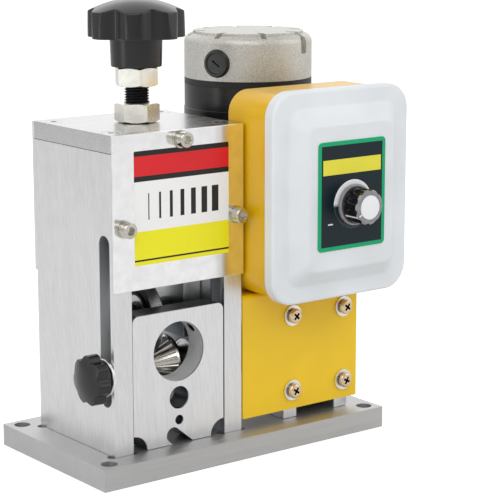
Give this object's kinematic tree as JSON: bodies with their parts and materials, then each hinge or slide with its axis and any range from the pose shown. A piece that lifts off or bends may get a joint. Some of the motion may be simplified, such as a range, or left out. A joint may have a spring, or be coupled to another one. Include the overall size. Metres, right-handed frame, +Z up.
{
  "type": "electric wire stripping machine",
  "caption": "Bench wire stripper: motor-driven serrated roller, hand-set round blade, sliding cable guide and speed controller on an aluminium base.",
  "frame": {"origin": "centre of the base plate's underside, on the bench top", "axes": "+X along the base plate's long side from the cutting head to the drive stand, +Y from the cable guide's front to the back, +Z up"},
  "size_m": [0.2018, 0.1585, 0.2589],
  "materials": {
    "aluminium_plate": "brushed",
    "polished_cover": "polished",
    "nickel": "bright nickel plate",
    "bright_steel": "ground",
    "blackened_steel": "black oxide",
    "black_plastic": "satin",
    "yellow_paint": "gloss enamel",
    "grey_plastic": "fine grained",
    "cast_alloy": "cast and sprayed silver grey",
    "black_paint": "satin",
    "circuit_board": "solder mask"
  },
  "bodies": {
    "frame": {"base_plate": "aluminium_plate", "left_side_plate": "aluminium_plate", "right_side_plate": "aluminium_plate", "top_plate": "aluminium_plate", "rear_cover": "aluminium_plate", "upright_left": "aluminium_plate", "upright_right": "aluminium_plate", "front_cover": "polished_cover", "front_cover_screw_top": "nickel", "front_cover_screw_left": "nickel", "front_cover_screw_right": "nickel", "rear_cover_screw_top": "nickel", "rear_cover_screw_left": "nickel", "rear_cover_screw_right": "nickel", "top_plate_screw_1": "nickel", "top_plate_screw_2": "nickel", "top_plate_screw_3": "nickel", "top_plate_screw_4": "nickel", "bearing_lock_screw_left": "nickel", "bearing_lock_screw_right": "nickel", "stand_screw_1": "nickel", "stand_screw_2": "nickel", "stand_screw_3": "nickel", "stand_screw_4": "nickel", "stand_washer_1": "nickel", "stand_washer_2": "nickel", "stand_washer_3": "nickel", "stand_washer_4": "nickel", "dial_bezel": "nickel", "roller_bearing_left": "bright_steel", "roller_bearing_right": "bright_steel", "speed_potentiometer": "bright_steel", "brush_cap_left": "black_plastic", "brush_cap_right": "black_plastic", "cord_gland": "black_plastic", "stand_cover": "yellow_paint", "controller_box": "yellow_paint", "controller_cover": "grey_plastic", "gearbox": "cast_alloy", "motor_end_cap": "cast_alloy", "motor_body": "black_paint", "control_board": "circuit_board"},
    "feed": {"feed_roller": "bright_steel", "shaft_coupling": "aluminium_plate", "output_shaft": "bright_steel"},
    "blade_carriage": {"blade_carriage": "aluminium_plate", "blade_axle": "bright_steel", "stud_keeper": "bright_steel"},
    "blade": {"blade_wheel": "blackened_steel", "blade_bearing": "bright_steel"},
    "adjusting_screw": {"adjusting_stud": "blackened_steel", "jam_nut": "nickel", "adjusting_knob": "black_plastic"},
    "adjusting_locknut": {"adjusting_locknut": "nickel"},
    "guide": {"guide_block": "aluminium_plate", "guide_pin": "bright_steel"},
    "guide_lock": {"lock_stud": "blackened_steel", "lock_washer": "nickel", "lock_knob": "black_plastic"},
    "speed_knob": {"speed_knob": "black_plastic"}
  },
  "joints": [
    {"name": "carriage_lift", "type": "slide", "parent": "frame", "child": "blade_carriage", "axis": [0, 0, 1], "range_m": [0, 0.025]},
    {"name": "adjusting_screw_turn", "type": "hinge", "parent": "blade_carriage", "child": "adjusting_screw", "pos_m": [-0.03965, -0.00045, 0.2125], "axis": [0, 0, 1], "range_deg": [0, 6000]},
    {"name": "blade_spin", "type": "hinge", "parent": "blade_carriage", "child": "blade", "pos_m": [-0.03965, -0.00045, 0.0795], "axis": [1, 0, 0], "continuous": true},
    {"name": "feed_roller_spin", "type": "hinge", "parent": "frame", "child": "feed", "pos_m": [-0.03965, -0.00045, 0.0485], "axis": [1, 0, 0], "continuous": true},
    {"name": "guide_lift", "type": "slide", "parent": "frame", "child": "guide", "axis": [0, 0, 1], "range_m": [0, 0.072]},
    {"name": "guide_lock_turn", "type": "hinge", "parent": "guide", "child": "guide_lock", "pos_m": [-0.0831, -0.03145, 0.0566], "axis": [1, 0, 0], "range_deg": [0, 360]},
    {"name": "speed_knob_turn", "type": "hinge", "parent": "frame", "child": "speed_knob", "pos_m": [0.053, -0.07945, 0.1444], "axis": [0, 1, 0], "range_deg": [0, 280]},
    {"name": "locknut_turn", "type": "hinge", "parent": "frame", "child": "adjusting_locknut", "pos_m": [-0.03965, -0.00045, 0.1955], "axis": [0, 0, 1], "range_deg": [0, 60]}
  ],
  "couplings": [
    {"joint": "adjusting_screw_turn", "follows": "carriage_lift", "rad_per_m": 4188.8}
  ]
}
